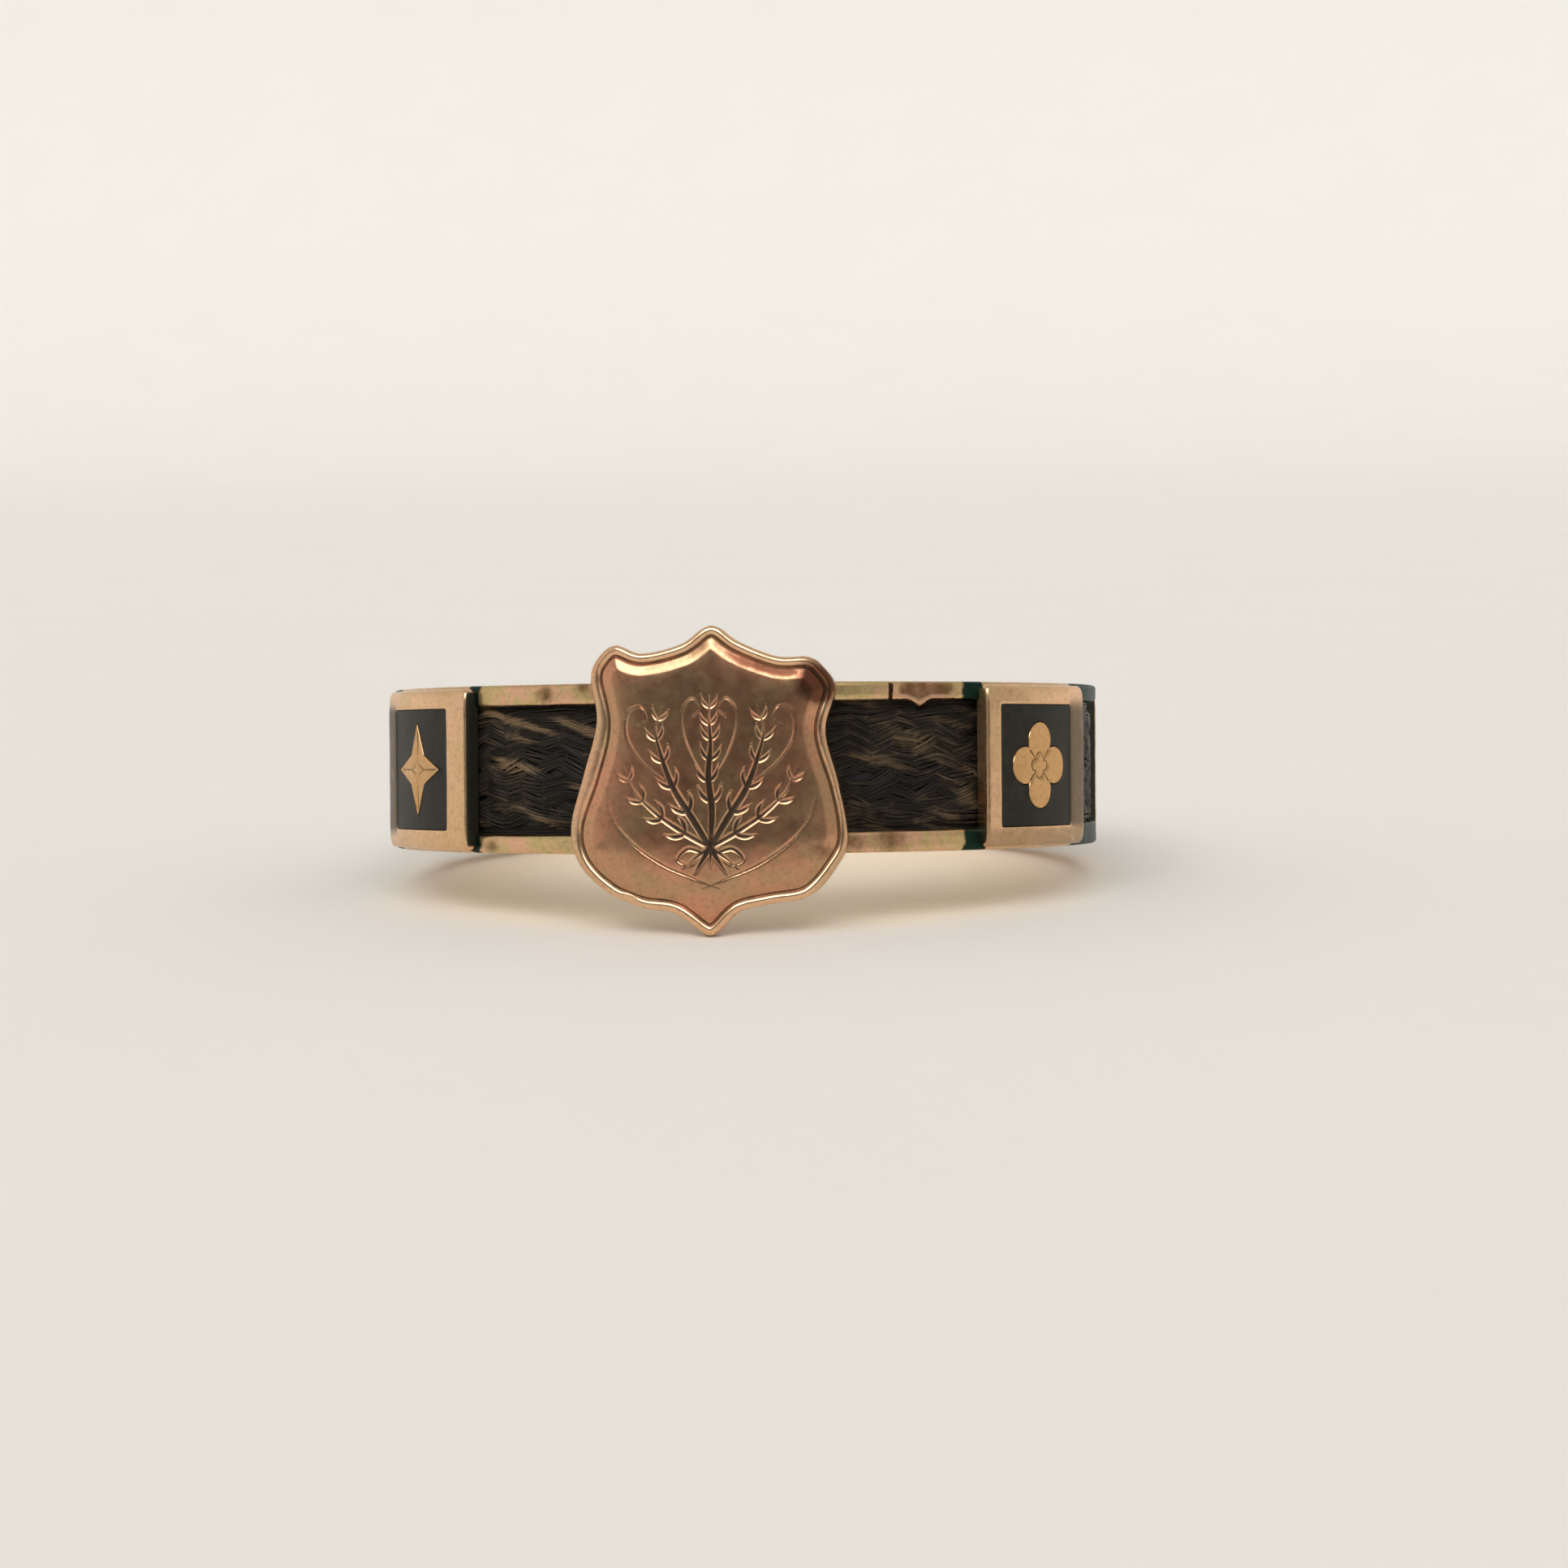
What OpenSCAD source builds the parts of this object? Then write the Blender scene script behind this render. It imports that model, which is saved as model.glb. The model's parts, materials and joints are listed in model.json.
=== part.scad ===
// Hair-work keeper ring: a gold channel holding a woven hair band, six enamelled plaques and a
// shield plate soldered across it. The ring lies on its side, tipped back onto the shield's foot.

/* [Ring] */
// Inside diameter, which sets the finger size
finger_d = 17.6; // [15:0.1:21]
// Width of the band along the finger
band_w = 4.35; // [4.2:0.05:5]
// Thickness of the wall against the finger
wall_t = 0.35; // [0.25:0.05:0.5]
// Radial height of the rails above the finger
rail_h = 1; // [0.95:0.05:1.4]
// Width of each rail along the finger
rail_w = 0.44; // [0.3:0.02:0.6]
// How far round from the shield the crack in the upper rail lies, in degrees
crack_angle = 27.2; // [24:0.1:36]
// Width of the crack in the upper rail
crack_w = 0.1; // [0.06:0.02:0.2]

/* [Hair] */
// Thickness of the woven hair at its middle
hair_t = 0.48; // [0.3:0.02:0.48]
// How much lower the woven hair is at its edges
hair_crown = 0.12; // [0:0.02:0.2]

/* [Plaques] */
// Number of enamelled plaques
plaque_count = 6; // [4:1:6]
// Angle from the shield to the nearest plaque on either side, in degrees
first_plaque = 55.8; // [50:0.1:58]
// Angle between two plaques at the back, in degrees
back_step = 42.5; // [40:0.1:47]
// Angle that each plaque takes up, in degrees
plaque_arc = 25.4; // [24:0.1:30]
// Width of a plaque along the finger
plaque_w = 4.2; // [3.8:0.05:4.2]
// How far the plaques stand proud of the rails
plaque_proud = 0.35; // [0.2:0.05:0.45]
// Angle that each enamel field takes up, in degrees
field_arc = 17.7; // [15:0.1:18.5]
// How far each enamel field sits off its plaque's middle towards the shield, in degrees
field_shift = 1.2; // [0:0.1:1.5]
// Height of each enamel field along the finger
field_w = 3.18; // [2.8:0.02:3.3]
// Depth of the sunk enamel field
field_t = 0.2; // [0.1:0.05:0.25]

/* [Shield] */
// Height of the shield plate along the finger
shield_h = 7.8; // [7:0.1:9]
// Width of the shield plate across its lower lobes
shield_w = 7.05; // [6:0.05:7.4]
// How far the shield's face stands proud of the rails
shield_proud = 0.7; // [0.5:0.05:0.9]
// Width of the raised rim round the shield
rim_w = 0.26; // [0.2:0.02:0.4]
// Width of the groove inside the rim
groove_w = 0.1; // [0.06:0.02:0.2]
// Width of the bevel that rises from the groove to the face
bevel_w = 0.2; // [0.1:0.02:0.4]

/* [Hidden] */
$fn = 96;

gold = [0.80, 0.55, 0.38];
hair = [0.13, 0.10, 0.08];
black_enamel = [0.15, 0.15, 0.14];

gap = 0.02;            // clearance between separate pieces
edge = 0.08;           // chamfer on the outer edges
finger_edge = 0.12;    // chamfer on the edges against the finger
solder_lap = 0.1;      // how deep the plaques and the shield are let into the rails
hair_gap = 0.04;       // clearance between the hair and what covers it
deep = 1;              // how far a cutter runs past what it cuts
last_reach = 2;        // how much further the last plaque reaches towards the shield, in degrees

finger_r = finger_d / 2;
floor_r = finger_r + wall_t;
rail_r = finger_r + rail_h;
cover_r = rail_r - solder_lap;
hair_r = min(floor_r + gap + hair_t, cover_r - hair_gap);
plaque_r = rail_r + plaque_proud;
field_r = plaque_r - field_t;
channel_w = band_w - 2 * rail_w;

// Angles of the plaques and of their fields from the shield, anticlockwise seen from above.
// The first and the last plaque flank the shield, and the others are spread evenly round the back.
function even_angle(i) = i == 0 ? first_plaque
    : i == plaque_count - 1 ? 360 - first_plaque
    : 180 + (i - (plaque_count - 1) / 2) * back_step;
function longer_by(i) = i == plaque_count - 1 ? last_reach : 0;
function plaque_angle(i) = even_angle(i) + longer_by(i) / 2;
function field_angle(i) = even_angle(i) + (even_angle(i) < 180 ? -field_shift : field_shift);

// Knots of the shield's outline, as shares of half its width and half its height.
// Columns: left x, left z, right x, right z. The rows run from the upper point to the lower one.
SHIELD_KNOTS = [
    [0.04,  0.98,  0.06,  0.985],  // upper point
    [0.21,  0.875, 0.21,  0.89],   // slope
    [0.49,  0.82,  0.48,  0.795],  // dip
    [0.68,  0.875, 0.70,  0.79],   // top of the shoulder
    [0.80,  0.81,  0.81,  0.72],   // shoulder
    [0.87,  0.67,  0.89,  0.58],   // tip of the shoulder
    [0.83,  0.38,  0.82,  0.31],   // waist
    [0.93,  0.04,  0.91, -0.03],   // flare
    [1.03, -0.30,  0.97, -0.37],   // widest
    [0.965, -0.545, 0.89, -0.56],  // lobe
    [0.75, -0.73,  0.70, -0.75],   // end of the lobe
    [0.51, -0.82,  0.42, -0.80],   // hollow
    [0.27, -0.855, 0.20, -0.85],   // slope
    [0.05, -0.99,  0.04, -0.98]    // lower point
];
knot_count = len(SHIELD_KNOTS);
spline_steps = 3;                  // points for each stretch between two knots
shield_drop = 0.3;                 // how far the shield's middle lies below the band's

// The knots in order round the outline, clockwise seen from the front
shield_ring = concat(
    [for (k = SHIELD_KNOTS) [k[2] * shield_w / 2, k[3] * shield_h / 2]],
    [for (i = [knot_count - 1 : -1 : 0])
        [-SHIELD_KNOTS[i][0] * shield_w / 2, SHIELD_KNOTS[i][1] * shield_h / 2]]
);

// Catmull-Rom curve from b to c, with a and d as their neighbours
function spline(a, b, c, d, t) =
    0.5 * (2 * b + (c - a) * t + (2 * a - 5 * b + 4 * c - d) * t * t + (3 * b - a - 3 * c + d) * t * t * t);

function shield_outline(ring) = let (n = len(ring))
    [for (i = [0 : n - 1], s = [0 : spline_steps - 1])
        spline(ring[(i + n - 1) % n], ring[i], ring[(i + 1) % n], ring[(i + 2) % n], s / spline_steps)];

// Sections of the shield from its underside to its face. Columns: inset from the outline, radius.
shield_reach = (shield_w + shield_h) / 4;
shield_face_r = rail_r + shield_proud;
rim_r = shield_face_r - 0.12;
groove_r = rim_r - 0.08;
face_inset = rim_w + groove_w + bevel_w;
SHIELD_SECTIONS = [
    [2.6, cover_r],
    [1.3, cover_r],
    [0, cover_r],
    [0, rim_r - 0.06],
    [0.05, rim_r],
    [rim_w - 0.04, rim_r],
    [rim_w, groove_r],
    [rim_w + groove_w, groove_r],
    [face_inset - 0.06, shield_face_r - 0.05],
    [face_inset, shield_face_r - 0.03],
    [1.6, shield_face_r - 0.01],
    [2.6, shield_face_r]
];

// Tipped pose: the ring rests on the lower rail's edge at the back and on the shield's foot in front
foot_z = min([for (p = shield_outline(shield_ring)) p[1]]) - shield_drop;
foot_r = cover_r;
heel_r = rail_r - edge;
tilt = atan((-foot_z - band_w / 2) / (foot_r + heel_r));
ring_z = heel_r * sin(tilt) + band_w / 2 * cos(tilt);
front_y = shield_face_r * cos(tilt) + (shield_drop + shield_h / 2 * 0.7) * sin(tilt);
back_y = plaque_r * cos(back_step / 2 - plaque_arc / 2) * cos(tilt) + plaque_w / 2 * sin(tilt);
ring_y = (front_y - back_y) / 2;

module rest_on_table() {
    translate([0, ring_y, ring_z]) rotate([-tilt, 0, 0]) children();
}

// Turns what stands in front, where the shield is, to an angle round the ring
module at_angle(a) {
    rotate([0, 0, a]) children();
}

// A length of ring in front, of a profile drawn as radius and height
module ring_arc(arc) {
    rotate([0, 0, -90 - arc / 2]) rotate_extrude(angle = arc) children();
}

module arc_block(arc, r_in, r_out, w) {
    ring_arc(arc) translate([r_in, -w / 2]) square([r_out - r_in, w]);
}

// A flat drawing of x and height, pushed out through the ring's front between two radii
module front_relief(r_in, r_out) {
    intersection() {
        rotate([90, 0, 0]) translate([0, 0, r_in - deep]) linear_extrude(r_out - r_in + 2 * deep) children();
        arc_block(plaque_arc, r_in, r_out, band_w);
    }
}

module channel() {
    half = [
        [finger_r, band_w / 2 - finger_edge],
        [finger_r + finger_edge, band_w / 2],
        [rail_r - edge, band_w / 2],
        [rail_r, band_w / 2 - edge],
        [rail_r, channel_w / 2],
        [floor_r, channel_w / 2]
    ];
    lower = [for (i = [len(half) - 1 : -1 : 0]) [half[i][0], -half[i][1]]];
    rotate_extrude() polygon(concat(half, lower));
}

module rail_crack() {
    at_angle(crack_angle)
        translate([-crack_w / 2, -rail_r - deep, channel_w / 2 - edge])
            cube([crack_w, rail_h / 2 + deep, rail_w + deep]);
}

// Ornaments standing in the enamel, in turn round the ring: a quatrefoil and a four-pointed star
petal_r = 0.5;
petal_reach = 0.64;
heart_r = 0.4;
star_reach = 1.22;
star_waist = 0.56;

module quatrefoil(grow) {
    circle(heart_r + grow);
    for (a = [0 : 90 : 270])
        rotate(a) translate([0, petal_reach]) circle(petal_r + grow);
}

module star(grow) {
    reach = star_reach + grow * 2;
    waist = star_waist + grow;
    polygon([for (i = [0 : 7]) (i % 2 == 0 ? reach : waist) * [sin(i * 45), cos(i * 45)]]);
}

module ornament(i, grow = 0) {
    if (i % 2 == 0) quatrefoil(grow);
    else star(grow);
}

module plaque(i) {
    turn = field_angle(i) - plaque_angle(i);
    difference() {
        ring_arc(plaque_arc + longer_by(i)) polygon([
            [cover_r, -plaque_w / 2],
            [plaque_r - edge, -plaque_w / 2],
            [plaque_r, -plaque_w / 2 + edge],
            [plaque_r, plaque_w / 2 - edge],
            [plaque_r - edge, plaque_w / 2],
            [cover_r, plaque_w / 2]
        ]);
        at_angle(turn) arc_block(field_arc, field_r, plaque_r + deep, field_w);
    }
    at_angle(turn) front_relief(field_r - gap, plaque_r - gap / 2) ornament(i);
}

// The shield's plate, lofted through its sections and bent round the ring
module shield() {
    outline = shield_outline(shield_ring);
    n = len(outline);
    rows = len(SHIELD_SECTIONS);
    middle = [0, -shield_drop];
    rings = [for (s = SHIELD_SECTIONS, p = outline)
        let (q = middle + p * (1 - s[0] / shield_reach)) [q[0], -sqrt(s[1] * s[1] - q[0] * q[0]), q[1]]];
    points = concat(rings, [[0, -cover_r, middle[1]], [0, -shield_face_r, middle[1]]]);
    under = n * rows;
    face = under + 1;
    last = n * (rows - 1);
    walls = [for (r = [0 : rows - 2], i = [0 : n - 1], half = [0, 1])
        let (a = r * n + i, b = r * n + (i + 1) % n)
        half == 0 ? [a, b, b + n] : [a, b + n, a + n]];
    under_fan = [for (i = [0 : n - 1]) [under, (i + 1) % n, i]];
    face_fan = [for (i = [0 : n - 1]) [face, last + i, last + (i + 1) % n]];
    polyhedron(points, concat(walls, under_fan, face_fan));
}

// All the soldered gold: the channel with its cracked rail, the plaques and the shield
module band() {
    color(gold) rest_on_table() {
        difference() {
            channel();
            rail_crack();
        }
        for (i = [0 : plaque_count - 1]) at_angle(plaque_angle(i)) plaque(i);
        shield();
    }
}

// The woven hair lying in the channel, full in the middle and lower at its edges
module hair_weave() {
    w = channel_w / 2 - gap;
    crown = [for (i = [-3 : 3]) [hair_r - hair_crown * pow(i / 3, 2), w * i / 3]];
    color(hair) rest_on_table()
        rotate_extrude() polygon(concat([[floor_r + gap, w], [floor_r + gap, -w]], crown));
}

module enamel(i) {
    clear_arc = gap / plaque_r * 180 / PI;
    color(black_enamel) rest_on_table() at_angle(field_angle(i))
        difference() {
            arc_block(field_arc - 2 * clear_arc, field_r + gap, plaque_r - 2 * gap, field_w - 2 * gap);
            front_relief(field_r - deep, plaque_r + deep) ornament(i, gap);
        }
}

band();
hair_weave();
for (i = [0 : plaque_count - 1])
    enamel(i);
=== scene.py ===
import json
import math

import bmesh
import bpy
import numpy as np
from mathutils import Matrix, Vector, kdtree, noise


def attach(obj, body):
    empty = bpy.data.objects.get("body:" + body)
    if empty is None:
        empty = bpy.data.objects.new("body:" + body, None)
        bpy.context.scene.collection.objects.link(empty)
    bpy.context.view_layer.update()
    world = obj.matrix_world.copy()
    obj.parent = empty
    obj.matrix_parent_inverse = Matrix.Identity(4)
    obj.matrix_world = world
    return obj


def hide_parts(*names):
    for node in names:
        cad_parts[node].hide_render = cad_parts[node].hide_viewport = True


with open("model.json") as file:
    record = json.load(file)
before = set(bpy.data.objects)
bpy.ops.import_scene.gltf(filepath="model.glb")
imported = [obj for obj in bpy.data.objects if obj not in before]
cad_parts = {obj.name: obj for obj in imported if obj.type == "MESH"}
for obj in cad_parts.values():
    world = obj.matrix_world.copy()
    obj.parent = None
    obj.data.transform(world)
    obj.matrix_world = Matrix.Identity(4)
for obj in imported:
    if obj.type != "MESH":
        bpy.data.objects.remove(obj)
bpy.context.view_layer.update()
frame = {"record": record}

# Everything is modelled in millimetres round the ring's own axis, with the shield at -Y,
# and is then laid down on the table the way the bore's mount says.
bore = next(m for m in frame["record"]["mounts"] if m["name"] == "finger_bore")
lean = math.asin(bore["axis"][1])
layDown = Matrix.Translation(bore["pos_m"]) @ Matrix.Rotation(-lean, 4, "X") @ Matrix.Scale(0.001, 4)

ring = {
    "fingerRadius": bore["dims"]["r_mm"],
    "wall": 0.35,          # thickness against the finger
    "railHeight": 1.0,     # from the finger to the top of a rail
    "railWidth": 0.44,
    "bandWidth": 4.35,
    "solderLap": 0.1,      # how deep the plaques and the shield are let into the rails
}
floorRadius = ring["fingerRadius"] + ring["wall"]
railRadius = ring["fingerRadius"] + ring["railHeight"]
bandHalf = ring["bandWidth"] / 2
channelHalf = bandHalf - ring["railWidth"]
railMiddle = channelHalf + ring["railWidth"] / 2      # height
coverRadius = railRadius - ring["solderLap"]      # underside of the plaques and the shield


# Shader nodes, written as plain expressions
class Wire:
    def __init__(self, paint, socket):
        self.paint = paint
        self.socket = socket

    def other(self, name):
        return Wire(self.paint, self.socket.node.outputs[name])

    def __add__(self, value):
        return self.paint.maths("ADD", self, value)

    def __sub__(self, value):
        return self.paint.maths("SUBTRACT", self, value)

    def __rsub__(self, value):
        return self.paint.maths("SUBTRACT", value, self)

    def __mul__(self, value):
        return self.paint.maths("MULTIPLY", self, value)

    __radd__ = __add__


class Paint:
    def __init__(self, name, tree=None):
        if tree is None:
            self.material = bpy.data.materials.new(name)
            self.material.use_nodes = True
            tree = self.material.node_tree
        self.tree = tree
        self.tree.nodes.clear()

    def add(self, kind, settings=None, inputs=None, output=0):
        node = self.tree.nodes.new(kind)
        for key, value in (settings or {}).items():
            setattr(node, key, value)
        for key, value in (inputs or {}).items():
            if isinstance(value, Wire):
                self.tree.links.new(value.socket, node.inputs[key])
            else:
                node.inputs[key].default_value = value
        return Wire(self, node.outputs[output]) if len(node.outputs) else node

    def maths(self, operation, a, b):
        return self.add("ShaderNodeMath", {"operation": operation}, {0: a, 1: b})

    def most(self, a, b):
        return self.maths("MAXIMUM", a, b)

    def ramp(self, value, low, high, start=0.0, end=1.0):      # a soft step from start to end
        return self.add("ShaderNodeMapRange", {"interpolation_type": "SMOOTHSTEP"},
                        {"Value": value, "From Min": low, "From Max": high, "To Min": start, "To Max": end})

    def blend(self, share, a, b):      # colours
        return self.add("ShaderNodeMix", {"data_type": "RGBA"}, {0: share, 6: a, 7: b}, output=2)

    def attribute(self, name):
        return self.add("ShaderNodeAttribute", {"attribute_name": name}, output="Fac")

    def millimetres(self, turn=(0, 0, 0), stretch=(1, 1, 1)):
        place = self.add("ShaderNodeTexCoord", output="Object")
        scale = [1000 * s for s in stretch]
        return self.add("ShaderNodeMapping", {}, {"Vector": place, "Rotation": turn, "Scale": scale})

    def cloud(self, scale, detail=3, rough=0.55, turn=(0, 0, 0), stretch=(1, 1, 1)):
        return self.add("ShaderNodeTexNoise", {}, {
            "Vector": self.millimetres(turn, stretch), "Scale": scale, "Detail": detail, "Roughness": rough})

    def scratches(self, turn, keep, fine=22):      # long thin marks, only where the noise passes keep
        lines = self.cloud(1.0, 2, 0.6, turn, (fine, 0.9, fine))
        return self.ramp(lines, keep, keep + 0.06)

    def finish(self, inputs, bump=None, depth=0.0):
        if bump is not None:      # depth in millimetres
            inputs["Normal"] = self.add("ShaderNodeBump", {}, {
                "Height": bump, "Distance": depth * 0.001, "Strength": 1.0})
        shader = self.add("ShaderNodeBsdfPrincipled", {}, inputs)
        self.add("ShaderNodeOutputMaterial", {}, {"Surface": shader})
        return self.material


def tint(*levels):      # a colour as the eye names it, 0 to 255, for a shader
    return (*(((c / 255 + 0.055) / 1.055) ** 2.4 if c > 10 else c / 3295 for c in levels), 1)


# Camera
cameraSpec = {
    "distance": 95,        # from the ring's centre
    "azimuth": 4.4,
    "elevation": 6.5,
    "aimRight": 1.06,      # how far the picture's middle lies from the ring's
    "aimDown": 0.513,
    "roll": -0.9,
    "lens": 77.6,
}


def placeCamera(spec):
    around, above = math.radians(spec["azimuth"]), math.radians(spec["elevation"])
    back = Vector((math.sin(around) * math.cos(above), -math.cos(around) * math.cos(above), math.sin(above)))
    right = Vector((0, 0, 1)).cross(back).normalized()
    up = back.cross(right)
    aim = Vector(bore["pos_m"]) + (right * spec["aimRight"] - up * spec["aimDown"]) * 0.001
    data = bpy.data.cameras.new("camera")
    data.lens = spec["lens"]
    data.sensor_width = 36
    data.clip_start = 0.004
    data.clip_end = 20
    camera = bpy.data.objects.new("camera", data)
    bpy.context.scene.collection.objects.link(camera)
    turn = Matrix((right, up, back)).transposed() @ Matrix.Rotation(math.radians(spec["roll"]), 3, "Z")
    camera.matrix_world = Matrix.Translation(aim + back * spec["distance"] * 0.001) @ turn.to_4x4()
    bpy.context.scene.camera = camera


placeCamera(cameraSpec)
print("camera placed")


# Shapes
def rollUp(stages):      # a skin through rows of points, where each row is a closed loop
    count = len(stages[0])
    bm = bmesh.new()
    bmesh.ops.create_grid(bm, x_segments=count, y_segments=len(stages) - 1, size=1)
    bm.verts.ensure_lookup_table()
    for row, stage in enumerate(stages):
        for column in range(count + 1):
            bm.verts[row * (count + 1) + column].co = stage[column % count]
    bmesh.ops.remove_doubles(bm, verts=bm.verts, dist=1e-5)
    return bm


def join(bm, extra):      # adds a second closed skin to the first
    mesh = bpy.data.meshes.new("part")
    extra.to_mesh(mesh)
    extra.free()
    bm.from_mesh(mesh)
    bpy.data.meshes.remove(mesh)


def bendRound(bm, angle, radius):      # lays a flat front round the ring; x was measured at this radius
    for v in bm.verts:
        turn, reach = math.radians(angle) + v.co.x / radius, -v.co.y
        v.co.x, v.co.y = reach * math.sin(turn), -reach * math.cos(turn)


def spinRound(bm, steps):      # a closed profile becomes a ring
    bmesh.ops.spin(bm, geom=bm.verts[:] + bm.edges[:], cent=(0, 0, 0), axis=(0, 0, 1), dvec=(0, 0, 0),
                   angle=2 * math.pi, steps=steps, use_merge=True, use_duplicate=False)


def ringAngle(co):      # degrees from the shield, towards +X
    return math.degrees(math.atan2(co.x, -co.y))


def outwards(co):      # the ring's radius at a point, and the way out from its axis
    radius = math.hypot(co.x, co.y)
    return radius, Vector((co.x, co.y, 0)) / radius


def step(value, low, high):
    share = min(1.0, max(0.0, (value - low) / (high - low)))
    return share * share * (3 - 2 * share)


def through(knots, pieces, closed=False):      # a Catmull-Rom curve through given knots
    knots = [Vector(k) for k in knots]
    if not closed:
        knots = [knots[0], *knots, knots[-1]]
    spans = len(knots) if closed else len(knots) - 3
    points = []
    for i in range(spans):
        a, b, c, d = (knots[(i + k) % len(knots)] for k in range(4))
        for s in range(pieces):
            t = s / pieces
            points.append(0.5 * (2 * b + (c - a) * t + (2 * a - 5 * b + 4 * c - d) * t * t
                                 + (3 * b - a - 3 * c + d) * t * t * t))
    return points if closed else points + [knots[-1]]


def settle(name, bm, finish, stands, crease=42):
    bmesh.ops.recalc_face_normals(bm, faces=bm.faces)
    mesh = bpy.data.meshes.new(name)
    bm.to_mesh(mesh)
    bm.free()
    mesh.shade_smooth()
    mesh.set_sharp_from_angle(angle=math.radians(crease))
    mesh.materials.append(finish)
    mesh.transform(layDown)
    piece = bpy.data.objects.new(name, mesh)
    bpy.context.scene.collection.objects.link(piece)
    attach(piece, "root")
    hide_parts(stands)
    mesh.calc_loop_triangles()
    print(name, "has", len(mesh.loop_triangles), "triangles")
    return piece


# Plaques
plaque = {
    "first": 55.8,         # degrees from the shield to the nearest one on either side
    "backStep": 42.5,      # degrees from one to the next round the back
    "count": 6,
    "arc": 25.4,
    "lastReach": 2.0,      # how much further the last one reaches towards the shield, in degrees
    "width": 4.2,
    "proud": 0.35,
    "crown": 0.045,        # how far it is worn down at its upper and lower edge
    "windowArc": 17.7,
    "windowShift": 1.2,    # degrees that a window lies off its plaque's middle, towards the shield
    "windowHeight": 3.18,
    "windowDepth": 0.2,
    "edgeRound": 0.1,
    "cornerRound": 0.16,
    "footFilm": 0.5,       # painted shade on the right one's lower border
    "rays": 128,           # points round each loop, a multiple of 8
}
plaqueRadius = railRadius + plaque["proud"]
fieldRadius = plaqueRadius - plaque["windowDepth"]
plaqueHalfZ = plaque["width"] / 2
windowHalfX = math.radians(plaque["windowArc"] / 2) * plaqueRadius
windowHalfZ = plaque["windowHeight"] / 2
backPlaques = plaque["count"] - 2
plaqueAngles = [180 + (i - (backPlaques - 1) / 2) * plaque["backStep"] for i in range(backPlaques)]
plaqueAngles = [plaque["first"], *plaqueAngles, 360 - plaque["first"]]
farSides = [1 if angle < 180 else -1 for angle in plaqueAngles]      # which end is away from the shield
windowAngles = [angle - far * plaque["windowShift"] for angle, far in zip(plaqueAngles, farSides)]
plaqueArcs = [plaque["arc"]] * plaque["count"]
plaqueArcs[-1] += plaque["lastReach"]
plaqueAngles[-1] += plaque["lastReach"] / 2


# Channel
channel = {
    "edgeRound": 0.09,
    "steps": 540,          # sections round the ring
    "pace": 0.07,          # from point to point across a section
    "spread": 0.14,        # how much wider a rail is where it was hammered over the hair
    "crackAngle": 27.2,
    "crackWidth": 0.11,
    "bruiseFrom": 28.2,    # the hollow in the upper rail beside the crack
    "bruiseTo": 39.5,
    "bruiseDepth": 0.1,
    "dentAngle": 32.1,
    "dentDrop": 0.17,
    "waver": 0.014,        # how unevenly the rails were drawn and worn
    "tarnishReach": 0.54,  # along the rail, from a plaque's end
    "leftReach": 0.2,      # the same beside the left one, on the shield's side
    "stains": [      # angle, height and size
        (-26.5, 1.95, 0.25), (-20.0, 2.1, 0.2), (27.0, -1.9, 0.4), (21.0, -1.95, 0.3),
        (-37.5, -2.0, 0.2)],
}


def arcGap(angle):      # millimetres along the rail from the nearest plaque's end
    turns = [abs((angle - a + 180) % 360 - 180) - arc / 2 for a, arc in zip(plaqueAngles, plaqueArcs)]
    return math.radians(min(turns)) * railRadius


def tarnishAndShadeAt(co, angle):      # painted shade and tarnish, black and green, beside the plaques, and all the way between the side ones
    reach = arcGap(angle) + 0.1 * noise.noise(co * 5)
    most = channel["tarnishReach"] if abs(angle + 35) > 15 else channel["leftReach"]
    near = 1 - step(reach, most - 0.1, most + 0.08)
    farEnd = plaque["first"] + plaque["arc"] / 2
    side = step(abs(angle), farEnd - 0.5, farEnd + 0.5) * (1 - step(abs(angle), 94, 100))
    return max(near if reach > -0.15 else 0.0, side * 0.8)


def stainAt(co, angle):
    deepest = 0.0
    for place, z, size in channel["stains"]:
        away = math.hypot(math.radians(angle - place) * railRadius * 0.6, co.z - z)
        deepest = max(deepest, math.exp(-(away / size) ** 2))
    return deepest


def bruiseAt(co, radius, angle):      # how deep the hollow beside the crack is, as a share
    start, end = channel["bruiseFrom"], channel["bruiseTo"]
    scoop = step(angle, start, start + 1) * (1 - step(angle, end - 2.5, end))
    scoop *= max(0.0, 1 - ((co.z - railMiddle - 0.04) / 0.2) ** 2)
    return scoop * step(radius, railRadius - 0.25, railRadius - 0.1)


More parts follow.
